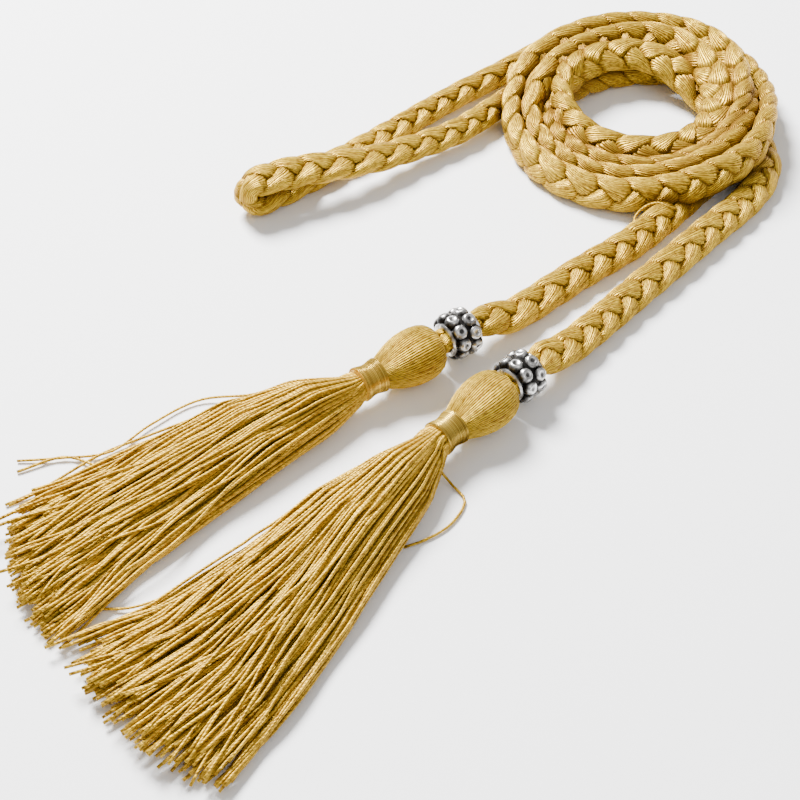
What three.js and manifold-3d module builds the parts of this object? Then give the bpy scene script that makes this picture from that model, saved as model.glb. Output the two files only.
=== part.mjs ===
// Tassel belt: one long flat plait of gold thread, folded in half. The doubled plait is wound into a
// loose coil, and its two free ends run out of the coil, each through a silver bead and into a tassel.
// Millimetres, +Z up. The belt lies on the floor z = 0, as it was laid out to be photographed.
import * as THREE from 'three';
import { mergeVertices } from 'three/addons/utils/BufferGeometryUtils.js';
import Module from 'manifold-3d';

const wasm = await Module();
wasm.setup();

// Driving dimensions
const GAP = 0.3;
const WELD = 1e-4;

const PLAIT_WIDTH = 10;
const PLAIT_THICKNESS = 6.5;
const PLAIT_SIDES = 10;
const LEG_STEPS = 30;
const FOLD_STEPS = 70;

const COIL_CENTRE = { x: 75.2, y: 121.3 };
const COIL_OUTER_RADIUS = 42.5;
const COIL_INNER_RADIUS = 17;
const COIL_STRETCH = 1.14;
const COIL_HEIGHT = 17.5;
const COIL_SEGMENTS = 36;

const BEAD_LENGTH = 9.5;
const BEAD_BODY_RADIUS = 5.7;
const BEAD_COLLAR_RADIUS = 4.7;
const BEAD_BORE_RADIUS = 3.5;
const GRANULE_RADIUS = 1.7;
const GRANULES_IN_ROW = 9;
const GRANULE_SINK = 0.35;
const GRANULE_SIDES = 6;
const GRANULE_RINGS = 4;
const BEAD_SIDES = 16;

// Behind its bead the plait is drawn in to a round: fully by the first distance, and from the second on.
const DRAWN_IN_BY = 3;
const DRAWN_IN_FROM = 9;

const HEAD_RADIUS = 7.5;
const HEAD_LENGTH = 18.5;
const NECK_RADIUS = 3.8;
const BINDING_LENGTH = 6.5;
const BINDING_THICKNESS = 0.6;
const BINDING_SIDES = 20;
const HEAD_SIDES = 16;
const NECK_BELOW_BINDING = 1;
const LOCK_ROOT = 0.6;
const LOCK_TIP_RADIUS = 0.55;

// Each end of the belt: where its bead lies, which way its tassel points, how much plait shows between
// bead and tassel head, how long its skirt is, and how far that drifts sideways by the tips.
const ENDS = [
  { x: 15.3, y: 17.3, heading: 217, stub: 2.5, skirt: 101, drift: 0 },
  { x: 30.8, y: 1.0, heading: 226, stub: 1.2, skirt: 108, drift: 6 },
];

// The plait's route where it isn't coiled, from the bead to the coil.
const LEG_ROUTES = [
  [
    [30.3, 27.9, 4.6], [38, 35, 3.6], [49, 45.2, 3.4], [65.3, 58.9, 3.4], [75.5, 69.8, 3.4],
    [85.3, 81.7, 3.4], [94, 92.5, 3.4], [98, 98, 3.4],
  ],
  [
    [44.8, 15.4, 4.6], [53.2, 24.8, 3.6], [66, 39.3, 3.4], [77, 51.5, 3.4], [89, 65, 3.4],
    [100.5, 78, 3.4], [107, 88, 3.4], [110, 98, 3.4], [109.5, 107, 3.4], [107, 114, 3.4],
  ],
];

// Out of the coil, along to the fold, over itself there, and back to the coil. The plait lies flat, so
// it folds flat on itself.
const FOLD_ROUTE = [
  [45, 138, 4.5], [32, 127, 4.2], [25.5, 120.2, 4.2], [18.8, 113.5, 4.4], [11.8, 108.3, 4.8],
  [6.5, 104.4, 5.4], [-0.3, 99.3, 6.4], [-6.2, 94.8, 7.4], [-12, 91.2, 8.6], [-20.5, 87.3, 9.8],
  [-28, 84.8, 10.5], [-35, 81.8, 10.9], [-40.6, 78.9, 11.4], [-43.4, 77.4, 10.4], [-44.6, 76.8, 7.5],
  [-43.4, 77.4, 4.6], [-40.6, 79, 3.6], [-35.2, 83.6, 3.5], [-28.3, 89.6, 3.4], [-21, 96, 3.4],
  [-12.2, 103.6, 3.4], [-6.1, 108.8, 3.4], [0, 114.4, 3.4], [7.2, 120.8, 3.4], [19.4, 131.2, 3.4],
  [32, 141.8, 3.4], [38.8, 148.2, 3.4], [45.8, 155.6, 3.4], [53.5, 161.5, 3.4], [63, 164.5, 3.4],
  [74, 164.5, 3.4],
];

// The coil's section: across from the inner edge (0) to the outer edge (1), and up from the floor (0)
// to the top (1).
const COIL_SECTION = [
  { across: 0.12, up: 0 }, { across: 0.86, up: 0 }, { across: 0.96, up: 0.1 },
  { across: 1, up: 0.28 }, { across: 0.98, up: 0.52 }, { across: 0.88, up: 0.76 },
  { across: 0.7, up: 0.88 }, { across: 0.46, up: 0.98 }, { across: 0.22, up: 1 },
  { across: 0.06, up: 0.84 }, { across: 0, up: 0.5 }, { across: 0.02, up: 0.18 },
];

// A tassel head from its top (0) to its neck (1), fullest above the middle, as shares of its length and
// radius.
const HEAD_SECTION = [
  { along: 0, radius: 0.6 }, { along: 0.06, radius: 0.82 }, { along: 0.2, radius: 0.96 },
  { along: 0.38, radius: 1 }, { along: 0.6, radius: 0.93 }, { along: 0.8, radius: 0.78 },
  { along: 0.94, radius: 0.64 },
];

// The skirt's section along its length: half its width, its depth, the radius of one lock and how high
// its underside lies before it is cut flat at the floor, all as shares of the skirt's length.
const SKIRT_SECTION = [
  { along: 0, half_width: 0.034, depth: 0.068, lock: 0.017, lift: 0.037 },
  { along: 0.13, half_width: 0.088, depth: 0.12, lock: 0.023, lift: 0.004 },
  { along: 0.3, half_width: 0.116, depth: 0.108, lock: 0.024, lift: -0.005 },
  { along: 0.5, half_width: 0.143, depth: 0.094, lock: 0.026, lift: -0.005 },
  { along: 0.75, half_width: 0.182, depth: 0.08, lock: 0.031, lift: -0.005 },
  { along: 1, half_width: 0.232, depth: 0.066, lock: 0.036, lift: -0.005 },
];

// The locks of a skirt: across from one side (-1) to the other (1), level 0 on the floor and 1 on top.
const LOCKS = [
  { across: -1, level: 0, length: 0.93 },
  { across: -0.67, level: 0, length: 0.98 },
  { across: -0.33, level: 0, length: 1.02 },
  { across: 0, level: 0, length: 1 },
  { across: 0.33, level: 0, length: 1.03 },
  { across: 0.67, level: 0, length: 0.99 },
  { across: 1, level: 0, length: 0.94 },
  { across: -0.74, level: 1, length: 0.9 },
  { across: -0.44, level: 1, length: 0.96 },
  { across: -0.15, level: 1, length: 0.93 },
  { across: 0.15, level: 1, length: 0.97 },
  { across: 0.44, level: 1, length: 0.92 },
  { across: 0.74, level: 1, length: 0.95 },
];
const LOCK_SIDES = 8;
const LOCK_STEPS = 6;

const plaitGold = () => new THREE.MeshStandardMaterial({ color: 0xba9a55, roughness: 0.6, metalness: 0 });
const tasselGold = () => new THREE.MeshStandardMaterial({ color: 0xbf9c52, roughness: 0.55, metalness: 0 });
const bindingGold = () => new THREE.MeshStandardMaterial({ color: 0xc9a150, roughness: 0.4, metalness: 0 });
const oldSilver = () => new THREE.MeshStandardMaterial({ color: 0x9a968e, roughness: 0.35, metalness: 0.9 });

function solidOf(geometry) {
  const bare = geometry.clone();
  bare.deleteAttribute('normal');
  bare.deleteAttribute('uv');
  const merged = mergeVertices(bare, WELD);
  return new wasm.Manifold(new wasm.Mesh({
    numProp: 3,
    vertProperties: new Float32Array(merged.attributes.position.array),
    triVerts: new Uint32Array(merged.index.array),
  }));
}

function geometryOf(solid) {
  const mesh = solid.getMesh();
  const geometry = new THREE.BufferGeometry();
  const positions = new Float32Array(mesh.numVert * 3);
  for (let i = 0; i < mesh.numVert; i += 1) {
    for (let k = 0; k < 3; k += 1) {
      positions[3 * i + k] = mesh.vertProperties[mesh.numProp * i + k];
    }
  }
  geometry.setAttribute('position', new THREE.BufferAttribute(positions, 3));
  geometry.setIndex(new THREE.BufferAttribute(new Uint32Array(mesh.triVerts), 1));
  geometry.computeVertexNormals();
  return geometry;
}

function named(name, geometry, material) {
  const mesh = new THREE.Mesh(geometry, material);
  mesh.name = name;
  return mesh;
}

// An oval section with flat facets: its first size stands up and its second lies level across the route.
function ovalSection(upright, level) {
  const shape = new THREE.Shape();
  for (let k = 0; k < PLAIT_SIDES; k += 1) {
    const angle = (2 * Math.PI * (k + 0.5)) / PLAIT_SIDES;
    const reach = 1 / Math.cos(Math.PI / PLAIT_SIDES);
    const x = (upright / 2) * Math.cos(angle) * reach;
    const y = (level / 2) * Math.sin(angle) * reach;
    if (k === 0) shape.moveTo(x, y);
    else shape.lineTo(x, y);
  }
  shape.closePath();
  return shape;
}

function sweep(points, section, steps) {
  const path = new THREE.CatmullRomCurve3(points.map((p) => new THREE.Vector3(...p)), false, 'centripetal');
  return new THREE.ExtrudeGeometry(section, { steps, extrudePath: path, bevelEnabled: false });
}

// A profile of [radius, height] pairs turned about Z.
function turned(pairs, segments) {
  const geometry = new THREE.LatheGeometry(pairs.map(([r, z]) => new THREE.Vector2(r, z)), segments);
  return geometry.rotateX(Math.PI / 2);
}

// The same, about the local X axis at the height of a tassel head's middle.
function turnedAlong(pairs, segments) {
  const geometry = new THREE.LatheGeometry(pairs.map(([r, x]) => new THREE.Vector2(r, x)), segments);
  return geometry.rotateZ(-Math.PI / 2).translate(0, 0, HEAD_RADIUS);
}

// The wound stretch of doubled plait, as one ring of its outer shape, a little longer than it is wide.
function coilRing(grow) {
  const band = COIL_OUTER_RADIUS - COIL_INNER_RADIUS;
  const points = COIL_SECTION.map((row) => [COIL_INNER_RADIUS + row.across * band, row.up * COIL_HEIGHT]);
  const pairs = points.map(([r, z], i) => {
    const [r0, z0] = points[(i + points.length - 1) % points.length];
    const [r1, z1] = points[(i + 1) % points.length];
    const length = Math.hypot(r1 - r0, z1 - z0);
    return [r + (grow * (z1 - z0)) / length, z - (grow * (r1 - r0)) / length];
  });
  pairs.push(pairs[0]);
  return turned(pairs, COIL_SEGMENTS).scale(1, COIL_STRETCH, 1).translate(COIL_CENTRE.x, COIL_CENTRE.y, 0);
}

function tableAt(rows, along, column) {
  let i = 0;
  while (i < rows.length - 2 && rows[i + 1].along < along) i += 1;
  const share = (along - rows[i].along) / (rows[i + 1].along - rows[i].along);
  return THREE.MathUtils.lerp(rows[i][column], rows[i + 1][column], share);
}

// One lock of threads: a closed tube whose radius grows along it and closes in at the cut ends.
function lockGeometry(lock, start, end) {
  const positions = [];
  const index = [];
  for (let i = 0; i <= LOCK_STEPS; i += 1) {
    const share = i / LOCK_STEPS;
    const along = share * lock.length;
    const size = (column) => tableAt(SKIRT_SECTION, Math.min(along, 1), column) * end.skirt;
    const radius = size('lock') * (i === LOCK_STEPS ? LOCK_TIP_RADIUS : 1);
    const middle = end.drift * along + lock.across * (size('half_width') - size('lock'));
    const height = size('lift') + size('lock') + lock.level * (size('depth') - 2 * size('lock'));
    for (let k = 0; k < LOCK_SIDES; k += 1) {
      const angle = (2 * Math.PI * k) / LOCK_SIDES;
      const across = middle + radius * Math.cos(angle);
      positions.push(start + along * end.skirt, across, height + radius * Math.sin(angle));
    }
  }
  for (let i = 0; i < LOCK_STEPS; i += 1) {
    for (let k = 0; k < LOCK_SIDES; k += 1) {
      const a = i * LOCK_SIDES + k;
      const b = i * LOCK_SIDES + ((k + 1) % LOCK_SIDES);
      index.push(a, b, b + LOCK_SIDES, a, b + LOCK_SIDES, a + LOCK_SIDES);
    }
  }
  const last = LOCK_STEPS * LOCK_SIDES;
  for (let k = 1; k < LOCK_SIDES - 1; k += 1) {
    index.push(0, k + 1, k, last, last + k, last + k + 1);
  }
  const geometry = new THREE.BufferGeometry();
  geometry.setAttribute('position', new THREE.BufferAttribute(new Float32Array(positions), 3));
  geometry.setIndex(index);
  return geometry;
}

const headTop = (end) => BEAD_LENGTH / 2 + end.stub;
const bindingStart = (end) => headTop(end) + HEAD_LENGTH;
const bindingEnd = (end) => bindingStart(end) + BINDING_LENGTH;

// A tassel: head, neck and skirt of locks in one, flat where the threads lie on the floor.
function tasselGeometry(end) {
  const top = headTop(end);
  const neckEnd = bindingEnd(end) + NECK_BELOW_BINDING;
  const profile = [[0, top]];
  for (const row of HEAD_SECTION) profile.push([row.radius * HEAD_RADIUS, top + row.along * HEAD_LENGTH]);
  profile.push([NECK_RADIUS, bindingStart(end) - GAP], [NECK_RADIUS, neckEnd], [0, neckEnd]);
  let solid = solidOf(turnedAlong(profile, HEAD_SIDES));
  for (const lock of LOCKS) {
    solid = solid.add(solidOf(lockGeometry(lock, neckEnd - LOCK_ROOT, end)));
  }
  const reach = 4 * end.skirt;
  const aboveFloor = wasm.Manifold.cube([reach, reach, reach], true).translate([0, 0, reach / 2]);
  return geometryOf(solid.intersect(aboveFloor));
}

// The binding: fine thread wound tight round the neck, here a plain sleeve.
function bindingGeometry(end) {
  const inner = NECK_RADIUS + GAP;
  const outer = inner + BINDING_THICKNESS;
  const from = bindingStart(end);
  const to = bindingEnd(end);
  const edge = BINDING_THICKNESS / 2;
  return turnedAlong([
    [inner, from], [inner + edge, from], [outer, from + edge], [outer, to - edge],
    [inner + edge, to], [inner, to], [inner, from],
  ], BINDING_SIDES);
}

// A bead: a bored barrel with a plain collar at each end and two staggered rows of granules round its belly.
function beadGeometry() {
  const half = BEAD_LENGTH / 2;
  const body = solidOf(turnedAlong([
    [BEAD_BORE_RADIUS, -half], [BEAD_COLLAR_RADIUS, -half],
    [BEAD_COLLAR_RADIUS, -0.76 * half], [0.93 * BEAD_BODY_RADIUS, -0.5 * half],
    [BEAD_BODY_RADIUS, 0],
    [0.93 * BEAD_BODY_RADIUS, 0.5 * half], [BEAD_COLLAR_RADIUS, 0.76 * half],
    [BEAD_COLLAR_RADIUS, half], [BEAD_BORE_RADIUS, half], [BEAD_BORE_RADIUS, -half],
  ], BEAD_SIDES));
  let solid = body;
  for (const row of [-1, 1]) {
    for (let k = 0; k < GRANULES_IN_ROW; k += 1) {
      const turn = (2 * Math.PI * (k + (row > 0 ? 0.5 : 0))) / GRANULES_IN_ROW;
      const seat = BEAD_BODY_RADIUS - GRANULE_SINK * GRANULE_RADIUS;
      const granule = new THREE.SphereGeometry(GRANULE_RADIUS, GRANULE_SIDES, GRANULE_RINGS);
      granule.translate(0, 0, seat).rotateX(turn).translate(row * GRANULE_RADIUS, 0, HEAD_RADIUS);
      solid = solid.add(solidOf(granule));
    }
  }
  return geometryOf(solid);
}

// The free end of the plait from its tassel to the coil, drawn in to a round where it goes through the bead.
function legGeometry(end, place, route) {
  const onAxis = (u) => place.localToWorld(new THREE.Vector3(u, 0, HEAD_RADIUS)).toArray();
  const clear = BEAD_LENGTH / 2;
  const points = [onAxis(headTop(end) - GAP), onAxis(0), onAxis(-clear - DRAWN_IN_BY), ...route];
  const leg = sweep(points, ovalSection(PLAIT_THICKNESS, PLAIT_WIDTH), LEG_STEPS);
  const borePolygon = BEAD_BORE_RADIUS * Math.cos(Math.PI / BEAD_SIDES);
  const drawnIn = (borePolygon - GAP) * Math.cos(Math.PI / PLAIT_SIDES);
  const position = leg.attributes.position;
  for (let i = 0; i < position.count; i += 1) {
    const point = place.worldToLocal(new THREE.Vector3().fromBufferAttribute(position, i));
    const pinch = THREE.MathUtils.smoothstep(point.x, -clear - DRAWN_IN_FROM, -clear - DRAWN_IN_BY);
    if (pinch > 0 && Math.abs(point.y) < PLAIT_WIDTH) {
      point.y *= THREE.MathUtils.lerp(1, (2 * drawnIn) / PLAIT_WIDTH, pinch);
      const thinned = THREE.MathUtils.lerp(1, (2 * drawnIn) / PLAIT_THICKNESS, pinch);
      point.z = HEAD_RADIUS + (point.z - HEAD_RADIUS) * thinned;
      place.localToWorld(point);
      position.setXYZ(i, point.x, point.y, point.z);
    }
  }
  return geometryOf(solidOf(leg).subtract(coilClearance));
}

const coilClearance = solidOf(coilRing(GAP));

const belt = new THREE.Group();
belt.add(named('coil', geometryOf(solidOf(coilRing(0))), plaitGold()));

const foldTube = sweep(FOLD_ROUTE, ovalSection(PLAIT_THICKNESS, PLAIT_WIDTH), FOLD_STEPS);
belt.add(named('fold', geometryOf(solidOf(foldTube).subtract(coilClearance)), plaitGold()));

ENDS.forEach((end, i) => {
  const place = new THREE.Group();
  place.position.set(end.x, end.y, 0);
  place.rotation.z = THREE.MathUtils.degToRad(end.heading);
  place.updateMatrixWorld(true);
  place.add(named(`bead_${i + 1}`, beadGeometry(), oldSilver()));
  place.add(named(`tassel_${i + 1}`, tasselGeometry(end), tasselGold()));
  place.add(named(`binding_${i + 1}`, bindingGeometry(end), bindingGold()));
  belt.add(place);
  belt.add(named(`leg_${i + 1}`, legGeometry(end, place, LEG_ROUTES[i]), plaitGold()));
});

// The middle of the belt's box, on the floor, is the origin.
const box = new THREE.Box3().setFromObject(belt, true);
belt.position.set(-(box.min.x + box.max.x) / 2, -(box.min.y + box.max.y) / 2, -box.min.z);

export default belt;
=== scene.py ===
import math
import random
from collections import namedtuple

import bmesh
import bpy
import numpy as np
from mathutils import Matrix, Vector


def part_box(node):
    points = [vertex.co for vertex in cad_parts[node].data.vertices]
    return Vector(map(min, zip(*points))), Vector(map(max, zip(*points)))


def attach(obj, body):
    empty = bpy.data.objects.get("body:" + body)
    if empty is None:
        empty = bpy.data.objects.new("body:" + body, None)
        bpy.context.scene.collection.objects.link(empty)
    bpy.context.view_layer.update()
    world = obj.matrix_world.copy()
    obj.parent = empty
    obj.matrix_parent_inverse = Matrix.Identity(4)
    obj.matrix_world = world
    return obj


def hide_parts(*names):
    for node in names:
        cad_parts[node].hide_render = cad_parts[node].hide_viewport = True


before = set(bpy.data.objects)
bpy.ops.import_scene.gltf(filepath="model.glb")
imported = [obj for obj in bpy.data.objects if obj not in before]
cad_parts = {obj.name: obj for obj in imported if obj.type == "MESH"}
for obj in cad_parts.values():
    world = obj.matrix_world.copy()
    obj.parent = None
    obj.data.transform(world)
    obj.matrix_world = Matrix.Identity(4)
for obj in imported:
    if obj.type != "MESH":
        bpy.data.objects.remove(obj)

# The camera. It looks down at 45 degrees along +Y from in front of the tassels, with a long lens. The belt's
# routes are given in millimetres from the spot on the floor that it looks at, and laid() turns them into the
# frame's metres, by where the first bead lies in both.
CAMERA_DISTANCE = 0.415
CAMERA_DOWN = math.radians(45)
FIRST_BEAD_MM = (15.3, 17.3)

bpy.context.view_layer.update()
bead_low, bead_high = (Vector(corner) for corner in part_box("bead_1"))
bead_middle = (bead_low + bead_high) / 2
layout_origin = Vector((bead_middle.x - FIRST_BEAD_MM[0] / 1000, bead_middle.y - FIRST_BEAD_MM[1] / 1000, 0))


def laid(x, y, z=0.0):
    return Vector((x, y, z)) / 1000 + layout_origin


lens = bpy.data.cameras.new("camera")
lens.sensor_width = 36
lens.lens = 72
camera = bpy.data.objects.new("camera", lens)
bpy.context.scene.collection.objects.link(camera)
back = Vector((0, -math.cos(CAMERA_DOWN), math.sin(CAMERA_DOWN)))
camera.location = laid(0, 0) + back * CAMERA_DISTANCE
camera.rotation_euler = (math.pi / 2 - CAMERA_DOWN, 0, 0)
bpy.context.scene.camera = camera


# The plait. Three flat bundles of silky rayon thread, plaited over and under each other into a flat band.
# One plait makes the whole belt: up one leg, round the coil to the fold, and back round it to the other leg.
PLAIT_WIDTH = 0.010
PLAIT_THICKNESS = 0.0065
PLAIT_REPEAT = 0.028
BUNDLE_SWING = 0.0028
BUNDLE_RISE = 0.0014
BUNDLE_FLAT = (0.0030, 0.0018)
BUNDLE_AT_EDGE = (0.0026, 0.0024)
BUNDLE_SQUARENESS = 0.85
BAND_SQUARENESS = 2.5
PRESSED = 0.74
BUNDLE_THREADS = 26
BUNDLE_SIDES = 26
PLAIT_STEP = 0.0013

COIL_CENTRE_MM = (75.2, 121.3)
BEAD_LENGTH = 0.0095
BEAD_BORE = 0.0033
AXIS_HEIGHT = 0.0075
INTO_HEAD = 0.0003
STRAIGHT_PAST_BEAD = 0.003
DRAWN_IN_BY = 0.0003
DRAWN_IN_FROM = 0.005

# The belt's two ends: where the bead's middle lies and which way the tassel points, in degrees, then in
# millimetres the bare plait between bead and tassel, the skirt's length and how far the skirt drifts aside.
End = namedtuple("End", "x y heading stub skirt drift")
ENDS = [
    End(*FIRST_BEAD_MM, heading=217, stub=2.5, skirt=101, drift=0),
    End(x=30.8, y=1.0, heading=226, stub=1.2, skirt=108, drift=6),
]

LEG_ROUTES = [
    [
        (30.3, 27.9, 4.6), (38, 35, 3.9), (49, 45.2, 3.8), (65.3, 58.9, 3.8), (75.5, 69.8, 3.7),
        (85.3, 81.7, 3.4), (94, 92.5, 3.4), (98, 98, 3.4),
    ],
    [
        (44.8, 15.4, 4.6), (53.2, 24.8, 3.9), (66, 39.3, 3.8), (77, 51.5, 3.8), (89, 65, 3.8),
        (100.5, 78, 3.4), (107, 88, 3.4), (110, 98, 3.4), (109.5, 107, 3.4), (107, 114, 3.4),
    ],
]

# From the coil to the tip of the fold and back under it, the last figure being how far the plait leans.
NEAR_RUN = [
    (43.5, 137.6, 5, 42), (32, 126.2, 5, 50), (25.5, 119.2, 5, 48), (18.8, 112.4, 5, 38),
    (11.8, 107.4, 5, 28), (6.5, 103.8, 5.4, 22), (-0.3, 99, 6.3, 20), (-6.2, 94.8, 7.3, 22),
    (-12, 91.2, 8.5, 26), (-20.5, 87.2, 9.7, 30), (-28, 84.6, 10.4, 31), (-35, 81.6, 10.7, 27),
    (-40.6, 78.8, 10.8, 14), (-43.4, 77.5, 9.7, 4), (-44.6, 76.9, 7.2, 0),
]
FAR_RUN = [
    (-43.4, 77.4, 4.5, 0), (-40.6, 79, 3.5, 2), (-35.2, 83.4, 3.4, 6), (-28.3, 89.2, 3.4, 10),
    (-21, 95.8, 3.4, 12), (-12.2, 103.6, 3.5, 16), (-6.1, 109.2, 3.7, 20), (0, 115, 3.9, 28),
    (7.2, 121.8, 4.2, 38), (19.4, 132.6, 4.6, 48), (32, 143.4, 4.6, 50), (38.8, 149.6, 4.6, 46),
    (45.6, 155.6, 4.5, 44),
]

# The turns of the coil, clockwise from where each run enters it: how far out, how high and how much on edge.
Turn = namedtuple("Turn", "angle radius height lean")
FAR_TURNS = [
    Turn(118, 45, 4.5, 46), Turn(100, 45.6, 4.8, 60), Turn(85, 45.8, 5, 75), Turn(66, 45.6, 5, 80),
    Turn(50, 44.4, 5, 80), Turn(35, 42, 5.4, 78), Turn(18, 39.4, 6, 78), Turn(0, 37.6, 8, 80),
    Turn(-20, 37.6, 10.4, 86), Turn(-45, 40.2, 10.8, 98), Turn(-70, 42.6, 10, 112),
    Turn(-92, 43.6, 7.2, 118), Turn(-112, 43.8, 5.4, 118), Turn(-132, 43.4, 5.2, 112),
    Turn(-152, 42.2, 5.1, 98), Turn(-172, 41, 5.6, 84), Turn(-190, 39.4, 7.8, 68),
    Turn(-205, 38, 10.4, 54), Turn(-222, 36.6, 12, 45), Turn(-240, 36.6, 12.2, 45),
    Turn(-256, 37.8, 11.8, 50), Turn(-275, 39.2, 11.2, 55), Turn(-295, 39.2, 11.4, 58),
    Turn(-312, 37.2, 11.8, 58), Turn(-330, 33.6, 12, 55), Turn(-345, 30.6, 12, 55),
    Turn(-365, 29, 12, 62), Turn(-390, 29.6, 10.8, 86), Turn(-420, 31.2, 8.2, 106),
    Turn(-450, 32, 5.8, 116), Turn(-475, 32, 5.2, 112), Turn(-505, 31.4, 5, 110),
    Turn(-530, 29.4, 5, 120), Turn(-555, 26.4, 4.8, 142), Turn(-580, 24.6, 4.2, 168),
    Turn(-605, 24.4, 3.8, 190), Turn(-635, 25.8, 3.7, 200), Turn(-665, 28.6, 3.6, 198),
    Turn(-692, 31, 3.5, 190), Turn(-715, 32, 3.4, 183),
]
NEAR_TURNS = [
    Turn(135, 35.6, 4.9, 44), Turn(118, 37, 4.9, 58), Turn(100, 38.2, 5, 70), Turn(80, 39, 5, 75),
    Turn(60, 38.6, 5, 78), Turn(42, 36.4, 5.2, 78), Turn(25, 33.6, 6.2, 78), Turn(5, 31.6, 8.6, 80),
    Turn(-20, 31.8, 10.2, 88), Turn(-45, 34, 10.6, 100), Turn(-70, 36.4, 9.4, 112),
    Turn(-92, 37.4, 7, 112), Turn(-112, 37.6, 5.4, 108), Turn(-132, 37.2, 5, 100),
    Turn(-152, 36, 5.1, 90), Turn(-172, 34.8, 5.6, 80), Turn(-190, 33, 7.8, 66),
    Turn(-205, 31, 10.4, 52), Turn(-222, 29.8, 11.8, 45), Turn(-240, 29.8, 12, 45),
    Turn(-256, 30.8, 11.8, 50), Turn(-275, 32.2, 11.8, 55), Turn(-292, 31.2, 12, 55),
    Turn(-312, 27.8, 12.2, 50), Turn(-332, 24.2, 12.4, 40), Turn(-352, 22.6, 12.3, 30),
    Turn(-375, 22.8, 11.8, 12), Turn(-405, 24, 10.4, -14), Turn(-435, 25.4, 9.2, -34),
    Turn(-465, 26, 8.6, -42), Turn(-495, 26.2, 8.8, -46), Turn(-525, 26, 9.6, -66),
    Turn(-550, 25.2, 10.4, -98), Turn(-575, 24.4, 11, -128), Turn(-605, 23.6, 11.3, -145),
    Turn(-635, 22.6, 11, -142), Turn(-662, 20.6, 9.8, -146), Turn(-685, 20.4, 6.8, -160),
    Turn(-706, 22.6, 4.4, -172), Turn(-728, 26.4, 3.5, -177), Turn(-748, 30, 3.4, -180),
]


def curve_through(stations, values, places):
    """The rows of values at the stations, joined by one smooth curve and read off at the places."""
    slopes = np.gradient(values, stations, axis=0)
    i = np.clip(np.searchsorted(stations, places, side="right") - 1, 0, len(stations) - 2)
    span = (stations[i + 1] - stations[i])[:, None]
    t = (places - stations[i])[:, None] / span
    from_last = (2 * t**3 - 3 * t**2 + 1) * values[i] + (t**3 - 2 * t**2 + t) * span * slopes[i]
    to_next = (3 * t**2 - 2 * t**3) * values[i + 1] + (t**3 - t**2) * span * slopes[i + 1]
    return from_last + to_next


# Places in the coil, one every TURN_STEP degrees, from the turns above.
TURN_STEP = 10


def coil_points(turns):
    angles = np.array([-turn.angle for turn in turns], float)
    places = np.arange(angles[0], angles[-1], TURN_STEP)
    rows = np.array([(turn.radius, turn.height, turn.lean) for turn in turns], float)
    points = []
    for place, (radius, height, lean) in zip(places, curve_through(angles, rows, places)):
        angle = math.radians(-place)
        x = COIL_CENTRE_MM[0] + radius * math.cos(angle)
        y = COIL_CENTRE_MM[1] + radius * math.sin(angle)
        points.append((x, y, height, lean))
    return points


def end_place(end):
    return Matrix.Translation(laid(end.x, end.y)) @ Matrix.Rotation(math.radians(end.heading), 4, "Z")


def bead_axis(end, along):
    """A point on the line through an end's bead and tassel head, along metres from the bead's middle."""
    return end_place(end) @ Vector((along, 0, AXIS_HEIGHT))


# The legs lie with their other face up, and lean it a little towards the camera.
LEG_LEAN = 26


def leaning(points, lean):
    return [(x, y, z, lean) for x, y, z in points]


def leg_start(end):
    head_top = BEAD_LENGTH / 2 + end.stub / 1000
    return [bead_axis(end, u) for u in (head_top - INTO_HEAD, 0, -BEAD_LENGTH / 2 - STRAIGHT_PAST_BEAD)]


knots = leaning(leg_start(ENDS[0]), -180 - LEG_LEAN)
route_mm = leaning(LEG_ROUTES[0], -180 - LEG_LEAN) + coil_points(NEAR_TURNS)[::-1] + NEAR_RUN + FAR_RUN
route_mm += coil_points(FAR_TURNS) + leaning(LEG_ROUTES[1], 180 - LEG_LEAN)[::-1]
knots += [(*laid(x, y, z), lean) for x, y, z, lean in route_mm]
knots += leaning(leg_start(ENDS[1])[::-1], 180 - LEG_LEAN)
knots = np.array(knots)


FINE_STEPS = 40


def run_along(line):
    """How far along a line each of its points lies."""
    return np.concatenate([[0], np.cumsum(np.linalg.norm(np.diff(line[:, :3], axis=0), axis=1))])


def smooth_line(points, spacing):
    """Even steps along one centripetal curve through the points. Columns past the third come along."""
    steps = np.linalg.norm(np.diff(points[:, :3], axis=0), axis=1) ** 0.5
    at = np.concatenate([[0], np.cumsum(steps)])
    line = curve_through(at, points, np.linspace(0, at[-1], len(points) * FINE_STEPS))
    run = run_along(line)
    even = np.linspace(0, run[-1], max(2, round(run[-1] / spacing)) + 1)
    return np.stack([np.interp(even, run, line[:, k]) for k in range(line.shape[1])], axis=1), even


# The plait has left the coil where it lies farther than COIL_REACH from its centre. A stretch whose level
# part is less than STEEP climbs, and keeps the side of the step before it.
COIL_REACH = 0.055
STEEP = 0.6


def directions_along(line):
    tangents = np.gradient(line, axis=0)
    return tangents / np.linalg.norm(tangents, axis=1)[:, None]


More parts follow.
